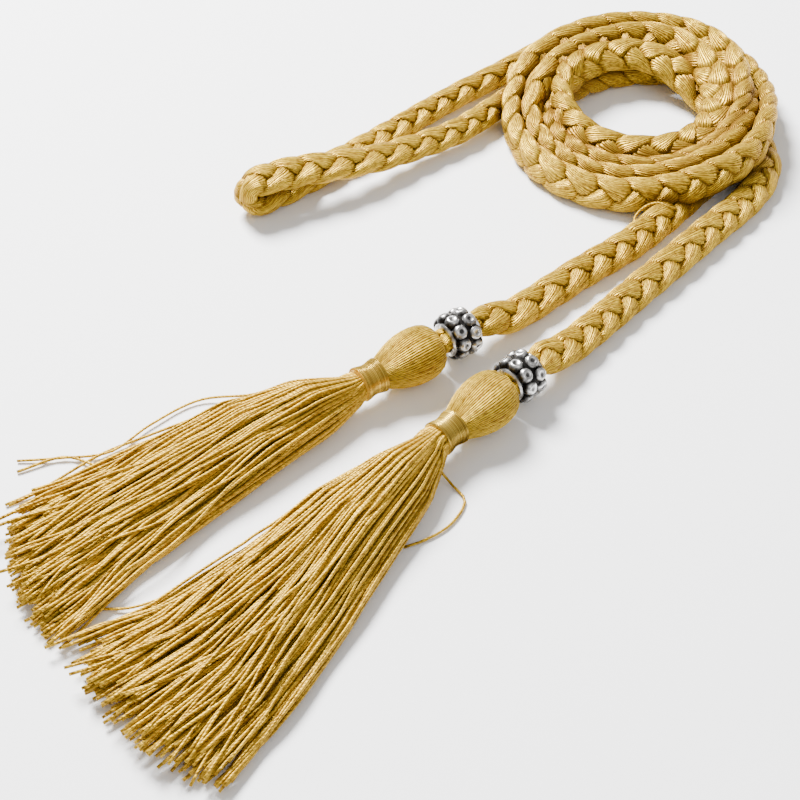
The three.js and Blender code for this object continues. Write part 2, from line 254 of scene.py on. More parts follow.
def across_vectors(line, leans):
    """The direction across a flat band at each step: level, then tipped up by its lean in degrees. In the
    coil a lean raises the outer edge, and outside it the band leans to the same side all along."""
    tangents = directions_along(line)
    across = np.zeros_like(line)
    last = np.array([-tangents[0][1], tangents[0][0], 0.0])
    for i, tangent in enumerate(tangents):
        level = np.array([-tangent[1], tangent[0], 0.0])
        if np.linalg.norm(level) < STEEP:
            level = last - tangent * (last @ tangent)
        level /= np.linalg.norm(level)
        if level @ last < 0:
            level = -level
        last = level
        across[i] = level
    outward = (line - np.array(laid(*COIL_CENTRE_MM)))[:, :2]
    outside = np.linalg.norm(outward, axis=1) > COIL_REACH
    facing = np.sign(np.einsum("ij,ij->i", across[:, :2], outward))
    for i in range(1, len(line)):
        if outside[i]:
            facing[i] = facing[i - 1]
    upward = np.cross(tangents, across)
    tip = np.radians(leans) * facing * np.where(upward[:, 2] < 0, -1, 1)
    across = across * np.cos(tip)[:, None] + upward * np.sin(tip)[:, None]
    return tangents, across, np.cross(tangents, across)


def tube_mesh(name, rings, along, shades, painted_shades):
    """One closed tube for each row of rings. Its UV map goes round (u) and along in metres (v); each tube
    has its own random tone, its shade, and each corner carries how much painted shade it gets, in creases and
    deep in a pile."""
    verts, faces, uvs, shade, hollow = [], [], [], [], []
    for tube, v, tone, shade_share in zip(rings, along, shades, painted_shades):
        base = len(verts)
        steps, sides = tube.shape[:2]
        verts.extend(map(tuple, tube.reshape(-1, 3)))
        shade.extend([tone] * (steps * sides))
        hollow.extend(np.broadcast_to(shade_share, (steps, sides)).ravel())
        for i in range(steps - 1):
            for k in range(sides):
                low = base + i * sides
                high = low + sides
                following = (k + 1) % sides
                faces.append((low + k, low + following, high + following, high + k))
                left, right = k / sides, (k + 1) / sides
                uvs.extend(((left, v[i]), (right, v[i]), (right, v[i + 1]), (left, v[i + 1])))
        last = base + (steps - 1) * sides
        faces.append(tuple(base + k for k in reversed(range(sides))))
        uvs.extend([(0.0, v[0])] * sides)
        faces.append(tuple(last + k for k in range(sides)))
        uvs.extend([(0.0, v[-1])] * sides)
    mesh = bpy.data.meshes.new(name)
    mesh.from_pydata(verts, [], faces)
    layer = mesh.uv_layers.new(name="threads")
    layer.data.foreach_set("uv", np.array(uvs, dtype=np.float32).ravel())
    for attribute, values in (("shade", shade), ("hollow", hollow)):
        stored = mesh.attributes.new(attribute, "FLOAT", "POINT")
        stored.data.foreach_set("value", np.array(values, dtype=np.float32))
    mesh.polygons.foreach_set("use_smooth", [True] * len(mesh.polygons))
    piece = bpy.data.objects.new(name, mesh)
    bpy.context.scene.collection.objects.link(piece)
    outwards = bmesh.new()
    outwards.from_mesh(mesh)
    bmesh.ops.recalc_face_normals(outwards, faces=outwards.faces)
    outwards.to_mesh(mesh)
    outwards.free()
    return piece


knot_line, plait_run = smooth_line(knots, PLAIT_STEP)
plait_line = knot_line[:, :3]
plait_length = float(plait_run[-1])

# Plaited by hand, so the band turns a little this way and that, its repeat isn't even, and its bundles are
# fuller in some places than in others. Each drift is a slow wave, with its stretch in metres to the radian.
LEAN_DRIFT = 7
LEAN_WAVES = [(0.6, 0.0171, 1.0), (0.4, 0.0067, 4.0)]
REPEAT_DRIFT = 0.3
REPEAT_DRIFT_STRETCH = 0.0113
BUNDLE_DRIFT = 0.07
BUNDLE_DRIFT_STRETCH = 0.0052
BUNDLE_DRIFT_APART = 2.3
uneven = sum(share * np.sin(plait_run / stretch + start) for share, stretch, start in LEAN_WAVES)
tangents, across, upright = across_vectors(plait_line, knot_line[:, 3] + LEAN_DRIFT * uneven)


def drawn_in(run):
    """How far the plait is drawn in to a round at each step, from 0 to 1, at either end."""
    pinch = np.zeros_like(run)
    for end, start in zip(ENDS, (run, run[-1] - run)):
        bead_back = BEAD_LENGTH + end.stub / 1000
        t = np.clip((bead_back + DRAWN_IN_FROM - start) / (DRAWN_IN_FROM - DRAWN_IN_BY), 0, 1)
        pinch = np.maximum(pinch, t * t * (3 - 2 * t))
    return pinch


# The plait is pulled out narrower between the fold and the coil, and a little in the legs. Each pair is a
# distance in metres, from the fold's tip or from the plait's end, and how fully it is narrowed there.
PULLED_WIDTH = 0.78
PULLED_FROM_TIP = [(0.015, 0.25), (0.06, 1), (0.12, 1), (0.15, 0)]
LEG_WIDTH = 0.93
LEG_FROM_END = [(0.11, 1), (0.15, 0)]
fold_tip = laid(*NEAR_RUN[-1][:3])
pinch = drawn_in(plait_run)
tip_run = plait_run[np.argmin(np.linalg.norm(plait_line - np.array(fold_tip), axis=1))]
from_tip = np.abs(plait_run - tip_run)
pulled = np.interp(from_tip, *zip(*PULLED_FROM_TIP))
from_end = np.minimum(plait_run, plait_length - plait_run)
in_leg = np.interp(from_end, *zip(*LEG_FROM_END))
narrow = 1 + pinch * (2 * BEAD_BORE / PLAIT_WIDTH - 1)
narrow = narrow * (1 + pulled * (PULLED_WIDTH - 1)) * (1 + in_leg * (1 - pinch) * (LEG_WIDTH - 1))
thin = 1 + pinch * (2 * BEAD_BORE / PLAIT_THICKNESS - 1)


def squarish(wave):
    return np.sign(wave) * np.abs(wave) ** BUNDLE_SQUARENESS


def oval(x, y, power):
    """1 on the outline of a squared oval that reaches 1 each way, less inside it and more outside."""
    return (np.abs(x) ** power + np.abs(y) ** power) ** (1 / power)


def nearness(x, y, section):
    """1 on a bundle's surface, less inside it and more outside."""
    sideways, above, half_wide, half_thick = section
    return oval((x - sideways) / half_wide, (y - above) / half_thick, 2 / BUNDLE_SQUARENESS)


round_it = 2 * math.pi * np.arange(BUNDLE_SIDES) / BUNDLE_SIDES
sections = []
for strand in range(3):
    phase = 2 * math.pi * (plait_run / PLAIT_REPEAT + strand / 3)
    phase = phase + REPEAT_DRIFT * np.sin(plait_run / REPEAT_DRIFT_STRETCH)
    fuller = 1 + BUNDLE_DRIFT * np.sin(plait_run / BUNDLE_DRIFT_STRETCH + BUNDLE_DRIFT_APART * strand)
    at_edge = np.sin(phase) ** 2
    half_wide = (BUNDLE_FLAT[0] + (BUNDLE_AT_EDGE[0] - BUNDLE_FLAT[0]) * at_edge) * fuller
    half_thick = (BUNDLE_FLAT[1] + (BUNDLE_AT_EDGE[1] - BUNDLE_FLAT[1]) * at_edge) * fuller
    parts = (BUNDLE_SWING * np.sin(phase), BUNDLE_RISE * np.sin(2 * phase), half_wide, half_thick)
    sections.append([part[:, None] for part in parts])

# The bundles are pressed together, so the band's outline hardly dips between them. Reach is how far the
# three of them come from the middle of the band in each direction, and the outline is where they should.
REACH_LEAST = 0.001
REACH_MOST = 0.0075
REACH_STEP = 0.0001
DIRECTIONS = 49
directions = np.linspace(-math.pi, math.pi, DIRECTIONS)
reach = np.full((len(plait_run), len(directions)), REACH_LEAST)
for distance in np.arange(REACH_LEAST, REACH_MOST, REACH_STEP):
    for section in sections:
        inside = nearness(distance * np.cos(directions), distance * np.sin(directions), section) <= 1
        reach[inside] = distance
across_band = np.cos(directions) / (PLAIT_WIDTH / 2)
through_band = np.sin(directions) / (PLAIT_THICKNESS / 2)
outline = 1 / oval(across_band, through_band, BAND_SQUARENESS)
stretch = (outline / reach) ** PRESSED

# Each point of a bundle gets painted shade where it is this near to another bundle, as a share of that
# one's size.
BUNDLE_CREASE_SHADE = 0.27
bundles, crease_shades = [], []
for strand, section in enumerate(sections):
    sideways, above, half_wide, half_thick = section
    x = sideways + half_wide * squarish(np.cos(round_it))
    y = above + half_thick * squarish(np.sin(round_it))
    others = [beside for other, beside in enumerate(sections) if other != strand]
    nearest = np.minimum(*(nearness(x, y, beside) for beside in others))
    crease_shades.append(1 - np.clip((nearest - 1) / BUNDLE_CREASE_SHADE, 0, 1))
    towards = np.arctan2(y, x)
    pressed = np.stack([np.interp(row, directions, factors) for row, factors in zip(towards, stretch)])
    x = x * pressed * narrow[:, None]
    y = y * pressed * thin[:, None]
    rings = plait_line[:, None] + across[:, None] * x[..., None] + upright[:, None] * y[..., None]
    rings[..., 2] = np.maximum(rings[..., 2], 0.0)
    bundles.append(rings)

# Where one turn lies against another, both get painted shade there. Each point looks for the turn beside it,
# which is the nearest stretch of the plait more than a little way along.
TURN_APART = 0.03
TURN_CREASE_SHADE = 0.8
stations = np.arange(0, len(plait_run), 2)
for rings, crease_shade in zip(bundles, crease_shades):
    for i in range(len(plait_run)):
        others = stations[np.abs(plait_run[stations] - plait_run[i]) > TURN_APART]
        apart = np.linalg.norm(rings[i][:, None] - plait_line[others][None], axis=2)
        beside = others[np.argmin(apart, axis=1)]
        offset = rings[i] - plait_line[beside]
        x = np.einsum("ij,ij->i", offset, across[beside]) / (PLAIT_WIDTH / 2)
        y = np.einsum("ij,ij->i", offset, upright[beside]) / (PLAIT_THICKNESS / 2)
        gap = oval(x, y, BAND_SQUARENESS) - 1
        crease_shade[i] = np.maximum(crease_shade[i], 1 - np.clip(gap / TURN_CREASE_SHADE, 0, 1))
plait = tube_mesh("plait", bundles, [plait_run] * 3, (0.0, 0.5, 1.0), crease_shades)


class Socket:
    """A shader socket that takes part in sums. Its operators add Math nodes, and node adds any other."""

    def __init__(self, tree, output=None):
        self.tree = tree
        self.output = output

    def node(self, kind, values=(), settings=(), result=0):
        made = self.tree.nodes.new(kind)
        for name, value in dict(settings).items():
            if name == "stops":
                ramp = made.color_ramp
                while len(ramp.elements) < len(value):
                    ramp.elements.new(0.5)
                for element, (place, colour) in zip(ramp.elements, value):
                    element.position = place
                    element.color = (*colour, 1)
            else:
                setattr(made, name, value)
        for name, value in dict(values).items():
            if isinstance(value, Socket):
                self.tree.links.new(value.output, made.inputs[name])
            else:
                made.inputs[name].default_value = value
        return Socket(self.tree, made.outputs[result])

    def beside(self, result):
        """Another output of the same node."""
        return Socket(self.tree, self.output.node.outputs[result])

    def attribute(self, name):
        return self.node("ShaderNodeAttribute", settings={"attribute_name": name}, result="Fac")

    def maths(self, operation, *others):
        return self.node("ShaderNodeMath", dict(enumerate((self, *others))), {"operation": operation})

    def __add__(self, other):
        return self.maths("ADD", other)

    def __sub__(self, other):
        return self.maths("SUBTRACT", other)

    def __rsub__(self, other):
        return self.node("ShaderNodeMath", {0: other, 1: self}, {"operation": "SUBTRACT"})

    def __mul__(self, other):
        return self.maths("MULTIPLY", other)

    __radd__ = __add__
    __rmul__ = __mul__

    def mixed(self, first, second):
        """One colour where this is 0 and the other where it is 1."""
        values = {0: self, 6: first, 7: second}
        return self.node("ShaderNodeMix", values, {"data_type": "RGBA"}, result=2)

    def feed(self, shader, name):
        self.tree.links.new(self.output, shader.inputs[name])


def new_material(name, metallic=0.0, roughness=0.5):
    material = bpy.data.materials.new(name)
    material.use_nodes = True
    shader = material.node_tree.nodes["Principled BSDF"]
    shader.inputs["Metallic"].default_value = metallic
    shader.inputs["Roughness"].default_value = roughness
    return material, shader, Socket(material.node_tree)


SILK_SHINE = 0.3
SILK_GLINT = (1.0, 0.7, 0.24, 1)
# The dark brown of painted shade, in creases, in grooves and deep in a skirt.
PAINTED_SHADE_BROWN = (0.17, 0.08, 0.008, 1)
FIBRES_PER_METRE = 150.0
GLINT_DASHES_PER_METRE = 650.0
DASH_RELIEF = 0.7
# How much lighter a thread can be by its own tone, by its fibres and by its dashes of painted glint, less
# what it starts from.
LIGHTER_BY_TONE = 0.45
LIGHTER_BY_FIBRES = 1.1
LIGHTER_BY_GLINT_DASHES = 1.5
STARTS_FROM = 1.02


def streaks(across, along, shade, detail):
    """Streaks of light and dark, other ones for each shade."""
    place = across.node("ShaderNodeCombineXYZ", {0: across, 1: along, 2: shade})
    return across.node("ShaderNodeTexNoise", {"Vector": place, "Scale": 1.0, "Detail": detail})


def thread_material(name, threads, slant, dark, bright, gloss, depth, gilt, plies=1.0, groove_shade=1.0):
    """Silky threads side by side: round ridges along the piece, each thread a little lighter or darker, with
    long fibres and short dashes of painted glint where the twist turns. Slant is how many threads are crossed
    in a metre along the piece; plies says how much the ridges differ in tone, and the groove shade how much
    painted shade lies between them."""
    material, shader, start = new_material(name, metallic=gilt, roughness=gloss)
    shader.inputs["Specular IOR Level"].default_value = SILK_SHINE
    shader.inputs["Specular Tint"].default_value = SILK_GLINT
    uv = start.node("ShaderNodeUVMap", result="UV")
    round_it = start.node("ShaderNodeSeparateXYZ", {0: uv})
    along = round_it.beside(1)
    shade, hollow = start.attribute("shade"), start.attribute("hollow")
    count = round_it * threads + along * slant
    ridge = (count * math.pi).maths("SINE").maths("ABSOLUTE")
    number = count.maths("FLOOR") * plies + shade * 97.0
    tone = start.node("ShaderNodeTexWhiteNoise", {1: number}, {"noise_dimensions": "1D"})
    fibres = streaks(count * 1.3, along * FIBRES_PER_METRE, shade * 40.0, detail=3.0)
    # The dashes are painted glints where the twist turns to the light; they also raise the bump a little.
    glint_dashes = streaks(count * 1.1, along * GLINT_DASHES_PER_METRE, shade * 70.0, detail=1.0)
    light = tone * LIGHTER_BY_TONE + fibres * LIGHTER_BY_FIBRES + glint_dashes * LIGHTER_BY_GLINT_DASHES - STARTS_FROM
    # The grooves between the ridges get painted shade, less under a glint.
    proud = 1.0 - (1.0 - ridge.maths("POWER", 0.5)) * (2.0 - glint_dashes * 2.0) * groove_shade
    # Painted shade: the grooves and each corner's share of painted shade are mixed towards the dark brown.
    unshaded = proud * (1.0 - hollow)
    unshaded.mixed(PAINTED_SHADE_BROWN, light.mixed(dark, bright)).feed(shader, "Base Color")
    height = ridge + glint_dashes * DASH_RELIEF
    bump = start.node("ShaderNodeBump", {"Height": height, "Strength": 1.0, "Distance": depth})
    bump.feed(shader, "Normal")
    return material


plait_gold = thread_material(
    "plait gold", threads=BUNDLE_THREADS, slant=120.0, gloss=0.38, depth=0.00019, gilt=0.5,
    dark=(0.23, 0.113, 0.007, 1), bright=(0.88, 0.59, 0.046, 1))
plait.data.materials.append(plait_gold)
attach(plait, "root")
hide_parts("coil", "fold", "leg_1", "leg_2")


# The beads. Cast antique silver barrels, bored for the plait, with a polished collar at each end and two
# staggered rows of granules, each with a dimple. The silver is worn bright on what stands out and black in
# the hollows; its grain's dark patches and the dimples' floors are painted dark reflections. Each bead is
# threaded on the plait and sits just above its tassel.
BORE_SPARE = 0.0002
COLLAR = 0.0047
COLLAR_EDGE = 0.0004
COLLAR_GROOVE = 0.0003
COLLAR_FROM = 0.76
BARREL = 0.0057
BEAD_SIDES = 64
BARREL_WORN = 0.05
COLLAR_WORN = 0.9
DIMPLE_DARK_REFLECTION = 0.5
GRANULE = 0.00215
GRANULE_OUT = 0.0068
GRANULES_IN_ROW = 9
ROW_FROM_MIDDLE = 0.94 * GRANULE
# A granule's dimple starts DIMPLE_FROM of its radius out, and goes in DIMPLE_STEEPNESS times as far as the
# round would have gone out. Its floor, where the round lay beyond DIMPLE_FLOOR, is half dark, a painted dark
# reflection.
DIMPLE_FROM = 0.84
DIMPLE_STEEPNESS = 2.0
DIMPLE_FLOOR = 0.93


def turned_piece(name, profile, sides, closed=False):
    """A piece turned about +Z, extruded ring by ring from (height, radius) pairs."""
    bpy.ops.object.select_all(action="DESELECT")
    first, radius = profile[0]
    bpy.ops.mesh.primitive_circle_add(vertices=sides, radius=radius, location=(0, 0, first))
    piece = bpy.context.object
    piece.name = name
    bpy.ops.object.mode_set(mode="EDIT")
    bpy.ops.mesh.select_all(action="SELECT")
    for (low, before), (high, after) in zip(profile, profile[1:]):
        bpy.ops.mesh.extrude_region_move(TRANSFORM_OT_translate={"value": (0, 0, high - low)})
        grown = after / before
        bpy.ops.transform.resize(value=(grown, grown, 1), center_override=(0, 0, high))
    bpy.ops.mesh.select_all(action="SELECT")
    bpy.ops.mesh.remove_doubles(threshold=1e-6)
    if not closed:
        bpy.ops.mesh.fill_holes(sides=0)
    bpy.ops.mesh.select_all(action="SELECT")
    bpy.ops.mesh.normals_make_consistent(inside=False)
    bpy.ops.object.mode_set(mode="OBJECT")
    bpy.ops.object.transform_apply(location=True, rotation=True, scale=True)
    bpy.ops.object.shade_smooth_by_angle(angle=math.radians(40))
    return piece


def put_on_end(piece, end):
    """Lays a piece turned about +Z on its end's axis, with its +Z towards the tassel's tips."""
    lift = Matrix.Translation((0, 0, AXIS_HEIGHT))
    piece.data.transform(end_place(end) @ lift @ Matrix.Rotation(math.pi / 2, 4, "Y"))


# Black tarnish to bright silver; its darker end also paints the dark reflections of the grain and the
# dimples.
TARNISH_AND_DARK_REFLECTION = [(0.1, (0.012, 0.011, 0.01)), (0.45, (0.13, 0.125, 0.12)), (0.95, (0.74, 0.73, 0.71))]
PITS_PER_METRE = 620.0
PIT_DEPTH = 0.00025
# How bright the silver is worn by how far it stands out and by its grain, whose dark patches are painted dark
# reflections, less what it starts from. Then its roughness where it is black, and how much of that is
# polished off where it is bright.
WORN_BY_HEIGHT = 0.85
WORN_AND_REFLECTING_BY_GRAIN = 1.5
WORN_FROM = 0.82
BLACK_ROUGHNESS = 0.5
POLISHED_BY_WEAR = 0.28

silver, silver_shader, start = new_material("antique silver", metallic=1.0, roughness=0.24)
raised = start.attribute("raised")
on_bead = start.node("ShaderNodeTexCoord", result="Object")
pitting_and_reflection = start.node("ShaderNodeTexNoise", {"Vector": on_bead, "Scale": PITS_PER_METRE, "Detail": 4.0})
wear_and_reflection = raised * WORN_BY_HEIGHT + pitting_and_reflection * WORN_AND_REFLECTING_BY_GRAIN - WORN_FROM
start.node("ShaderNodeValToRGB", {"Fac": wear_and_reflection}, {"stops": TARNISH_AND_DARK_REFLECTION}).feed(silver_shader, "Base Color")
(BLACK_ROUGHNESS - wear_and_reflection * POLISHED_BY_WEAR).feed(silver_shader, "Roughness")
cast = start.node("ShaderNodeBump", {"Height": pitting_and_reflection, "Strength": 0.5, "Distance": PIT_DEPTH})
cast.feed(silver_shader, "Normal")

# One granule is made, with a dimple in its face towards +Z, and copied to each place on the barrels.
bpy.ops.object.select_all(action="DESELECT")
bpy.ops.mesh.primitive_uv_sphere_add(segments=18, ring_count=16, radius=GRANULE)
granule = bpy.context.object
dimples = granule.data.attributes.new("raised", "FLOAT", "POINT")
for vert, value in zip(granule.data.vertices, dimples.data):
    out = vert.co.z / GRANULE
    value.value = DIMPLE_DARK_REFLECTION if out > DIMPLE_FLOOR else min(max(2.0 * out - 0.5, 0.0), 1.0)
    if out > DIMPLE_FROM:
        vert.co.z -= GRANULE * DIMPLE_STEEPNESS * (out - DIMPLE_FROM)


def granule_copy(row, turn):
    """A copy of the granule, standing on the barrel at its row and turn."""
    piece = bpy.data.objects.new("granule", granule.data.copy())
    bpy.context.scene.collection.objects.link(piece)
    outwards = Matrix.Rotation(turn, 4, "Z") @ Matrix.Rotation(math.pi / 2, 4, "Y")
    stand = outwards @ Matrix.Translation((0, 0, GRANULE_OUT - GRANULE))
    piece.data.transform(Matrix.Translation((0, 0, row * ROW_FROM_MIDDLE)) @ stand)
    return piece


half = BEAD_LENGTH / 2
bore = BEAD_BORE + BORE_SPARE
half_profile = [
    (half, bore), (half, COLLAR - COLLAR_EDGE), (half - COLLAR_EDGE, COLLAR), (0.8 * half, COLLAR),
    (0.72 * half, COLLAR - COLLAR_GROOVE), (0.6 * half, 0.86 * BARREL), (0.3 * half, 0.97 * BARREL),
]
bead_profile = [(-height, radius) for height, radius in half_profile]
bead_profile += [(0, BARREL), *half_profile[::-1], (-half, bore)]
for number, end in enumerate(ENDS, 1):
    parts = [turned_piece("bead", bead_profile, BEAD_SIDES, closed=True)]
    heights = parts[0].data.attributes.new("raised", "FLOAT", "POINT")
    for vert, value in zip(parts[0].data.vertices, heights.data):
        value.value = COLLAR_WORN if abs(vert.co.z) > COLLAR_FROM * half else BARREL_WORN
    for row, stagger in ((-1, 0), (1, 0.5)):
        for k in range(GRANULES_IN_ROW):
            parts.append(granule_copy(row, 2 * math.pi * (k + stagger) / GRANULES_IN_ROW))
    bpy.ops.object.select_all(action="DESELECT")
    for part in parts:
        part.select_set(True)
    bpy.context.view_layer.objects.active = parts[0]
    bpy.ops.object.join()
    bead = bpy.context.object
    bead.name = f"bead_silver_{number}"
    bead.data.polygons.foreach_set("use_smooth", [True] * len(bead.data.polygons))
    put_on_end(bead, end)
    bead.data.materials.clear()
    bead.data.materials.append(silver)
    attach(bead, "root")
    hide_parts(f"bead_{number}")
bpy.data.objects.remove(granule)


# The tassels. About a hundred and fifty threads of twisted rayon are doubled over the end of the plait, so
# that they make a round head, and bound below it. Under the binding they fan out and lie on the floor.
HEAD_RADIUS = 0.0075
HEAD_LENGTH = 0.0185
HEAD_THREADS = 72
HEAD_SLANT = 40
HEAD_GROOVE = 0.022
BINDING_LENGTH = 0.0065
SKIRT_THREADS = 300
CROSSING_THREADS = 20
THREAD_RADIUS = 0.0004
THREAD_UNEVEN = (0.88, 1.1)
THREAD_TURN = 0.0022
THREAD_PLACES = 38

# The head's outline: how far down it, as a share of its length, and how wide, as a share of its radius.
HEAD_SHAPE = [
    (0, 0.36), (0.015, 0.56), (0.05, 0.76), (0.1, 0.87), (0.18, 0.95), (0.28, 0.99), (0.38, 1), (0.5, 0.98),
    (0.62, 0.92), (0.74, 0.83), (0.86, 0.71), (0.94, 0.62), (1.0, 0.53), (1.04, 0.5),
]

# Cuts across each skirt, all as shares of its length: how far along, half its width, how deep, how far off
# the floor, and how far the skirt bows aside.
Section = namedtuple("Section", "along half_width depth lift bow")
SKIRT_SECTIONS = [
    [
        Section(0, 0.036, 0.068, 0.037, 0), Section(0.13, 0.096, 0.125, 0.004, -0.03),
        Section(0.3, 0.13, 0.115, 0, -0.044), Section(0.5, 0.144, 0.098, 0, -0.036),
        Section(0.75, 0.168, 0.082, 0, -0.024), Section(1.0, 0.212, 0.066, 0, -0.008),
    ],
    [
        Section(0, 0.034, 0.068, 0.037, 0), Section(0.13, 0.092, 0.125, 0.004, 0.002),
        Section(0.3, 0.126, 0.115, 0, 0.006), Section(0.5, 0.152, 0.098, 0, 0.026),
        Section(0.75, 0.192, 0.082, 0, 0.034), Section(1.0, 0.25, 0.066, 0, 0),
    ],
]

# How far the tips come along the middle, as a share of the skirt, and how much farther on the lower side.
SKIRT_TIPS = [(0.97, 0.07), (0.975, 0.01)]

# How the threads stray from even places. Shares are of the skirt's length along it, and of its half width
# across it. A sway is the fewest and the most waves that a thread makes, and how wide they are in metres.
# The rise is the same upwards, and the dome is how far the skirt's top comes down towards its sides.
INSIDE_BINDING = 0.09
TIPS_ROUNDED = 0.06
TIPS_UNEVEN = (-0.05, 0.02)
BUNCHING = 0.035
BUNCHING_PACE = 21
SCATTER = 0.07
SPREAD_MOST = 1.03
SPREAD_BY = 1 / 1.8
CROSSING_ON_TOP_BY = 0.3
CROSSING_FROM = 0.25
CROSSING_SWERVE = (0.3, 0.7)
CROSSING_MOST = 1.05
SWAYS = [((0.5, 1.3), 0.0013), ((2.5, 5), 0.0003)]
RISE = 0.0005
RISE_WAVES = (2, 5)
DOME = 0.55
DOME_FROM = 0.02

# Threads that strayed from the skirts, from inside the skirt to where their ends lie on the floor.
STRAYS_MM = [
    [
        [
            (-14.1, 0, 8), (-21.8, 0.6, 7), (-28.3, 1.1, 5.5), (-37.4, -0.8, 3), (-51.7, -1, 1),
            (-63.6, -10, 1), (-72.6, -19.4, 1), (-84.8, -21.5, 1), (-95.5, -22.1, 0.6),
        ],
        [
            (-17.9, -1.5, 8), (-28.1, -2.9, 6.5), (-38.2, -5.7, 5), (-49.7, -7.9, 2.5), (-63.2, -13.5, 1),
            (-75, -20.4, 1), (-88.1, -32.1, 1), (-95.9, -36.7, 0.6),
        ],
        [
            (-25.3, -7, 7), (-40.1, -13.1, 6), (-52.5, -16.7, 4), (-62.5, -19.7, 2), (-71.9, -24.8, 1),
            (-83.6, -21.1, 1), (-94.9, -25.8, 0.6),
        ],
    ],
    [
        [
            (2.9, -23.6, 8), (-4.9, -26.6, 6.5), (-13.4, -31.6, 4), (-19.9, -36, 2), (-25.1, -39.9, 1),
            (-31.2, -46.2, 1), (-39.3, -53.3, 1), (-44.5, -61, 1), (-53.9, -65.1, 1), (-62, -68.3, 1),
            (-73.1, -68, 0.6),
        ],
        [
            (7.3, -26, 7), (9.8, -28.3, 4), (12.8, -30.5, 1), (15.8, -35.1, 0.6), (12, -43, 0.6),
            (6, -47.7, 0.6), (1, -50, 0.6),
        ],
    ],
]

tassel_gold = thread_material(
    "tassel gold", threads=2, slant=2 / THREAD_TURN, gloss=0.36, depth=0.00008, gilt=0.35,
    dark=(0.2, 0.1, 0.006, 1), bright=(0.7, 0.445, 0.038, 1), plies=0.0, groove_shade=0.4)
head_gold = thread_material(
    "tassel head gold", threads=HEAD_THREADS, slant=HEAD_SLANT, gloss=0.38, depth=0.0003, gilt=0.35,
    dark=(0.2, 0.095, 0.004, 1), bright=(0.9, 0.6, 0.05, 1))


def wrap_uv(piece):
    """UV round the piece's +Z axis (u) and along it in metres (v), with the seam kept whole."""
    layer = piece.data.uv_layers.active or piece.data.uv_layers.new(name="threads")
    for face in piece.data.polygons:
        first = None
        for loop in face.loop_indices:
            point = piece.data.vertices[piece.data.loops[loop].vertex_index].co
            u = math.atan2(point.y, point.x) / (2 * math.pi)
            if first is None:
                first = u
            u -= round(u - first)
            layer.data[loop].uv = (u, point.z)


def skirt_threads(end, sections, longest, slant, dice):
    """The centre lines of a skirt's threads in metres, on the end's own axes."""
    skirt = end.skirt / 1000
    neck = BEAD_LENGTH / 2 + end.stub / 1000 + HEAD_LENGTH + BINDING_LENGTH
    places = []
    for i in range(SKIRT_THREADS):
        out = math.sqrt((i + 0.5) / SKIRT_THREADS)
        turn = i * math.pi * (3 - math.sqrt(5))
        places.append((out * math.cos(turn), out * math.sin(turn)))
    order = sorted(range(SKIRT_THREADS), key=lambda i: places[i][0])
    rank = {thread: place for place, thread in enumerate(order)}
    crossing = set(dice.sample(range(SKIRT_THREADS), CROSSING_THREADS))
    lines, levels = [], []
    for i, (aside, above) in enumerate(places):
        spread = -1 + 2 * (rank[i] + 0.5) / SKIRT_THREADS
        spread += BUNCHING * math.sin(spread * BUNCHING_PACE + end.heading) + dice.gauss(0, SCATTER)
        spread = max(-SPREAD_MOST, min(SPREAD_MOST, spread))
        level = (above + 1) / 2
        tip = longest + slant * spread - TIPS_ROUNDED * spread**2 + dice.uniform(*TIPS_UNEVEN)
        t = np.linspace(-INSIDE_BINDING, tip, THREAD_PLACES)
        gone = np.clip(t, 0, 1)
        half_width, depth, lift, bow = (
            skirt * np.interp(gone, [s.along for s in sections], [getattr(s, column) for s in sections])
            for column in ("half_width", "depth", "lift", "bow"))
        path = aside + (spread - aside) * np.clip(gone / SPREAD_BY, 0, 1)
        if i in crossing:
            level = level + (1 - level) * np.clip(gone / CROSSING_ON_TOP_BY, 0, 1)
            swerve = np.clip((gone - CROSSING_FROM) / (1 - CROSSING_FROM), 0, 1)
            path = path + dice.choice((-1, 1)) * dice.uniform(*CROSSING_SWERVE) * swerve**1.5
            path = np.clip(path, -CROSSING_MOST, CROSSING_MOST)
        across = path * half_width
        sways = [(dice.uniform(*waves), size) for waves, size in SWAYS]
        for waves, size in sways:
            start = dice.uniform(0, 2 * math.pi)
            across = across + dice.gauss(0, size) * gone**0.7 * np.sin(2 * math.pi * waves * gone + start)
        dome = 1 - DOME * np.clip(np.abs(path), 0, 1) ** 2 * (gone > DOME_FROM)
        height = lift + THREAD_RADIUS + level * (depth - 2 * THREAD_RADIUS) * dome
        start = dice.uniform(0, 2 * math.pi)
        waves = dice.uniform(*RISE_WAVES)
        height = height + RISE * gone * np.sin(2 * math.pi * waves * gone + start)
        across = across + bow + end.drift / 1000 * gone
        lines.append(np.stack([neck + t * skirt, across, np.maximum(height, THREAD_RADIUS)], axis=1))
        levels.append(float(np.max(level)))
    return lines, levels


def thread_rings(line, radius, sides=6):
    tangents = directions_along(line)
    level = np.cross(tangents, (0, 0, 1.0))
    level /= np.linalg.norm(level, axis=1)[:, None]
    up = np.cross(level, tangents)
    turns = 2 * math.pi * np.arange(sides) / sides
    ring = level[:, None] * np.cos(turns)[None, :, None] + up[:, None] * np.sin(turns)[None, :, None]
    return line[:, None] + radius * ring


# Threads deep in a skirt get painted shade, each darker by its own share of this at the bottom.
BURIED_SHADE = 0.55
BURIED_SHADE_SHARE = (0.4, 1)
STRAY_STEP = 0.002
SEED = 40

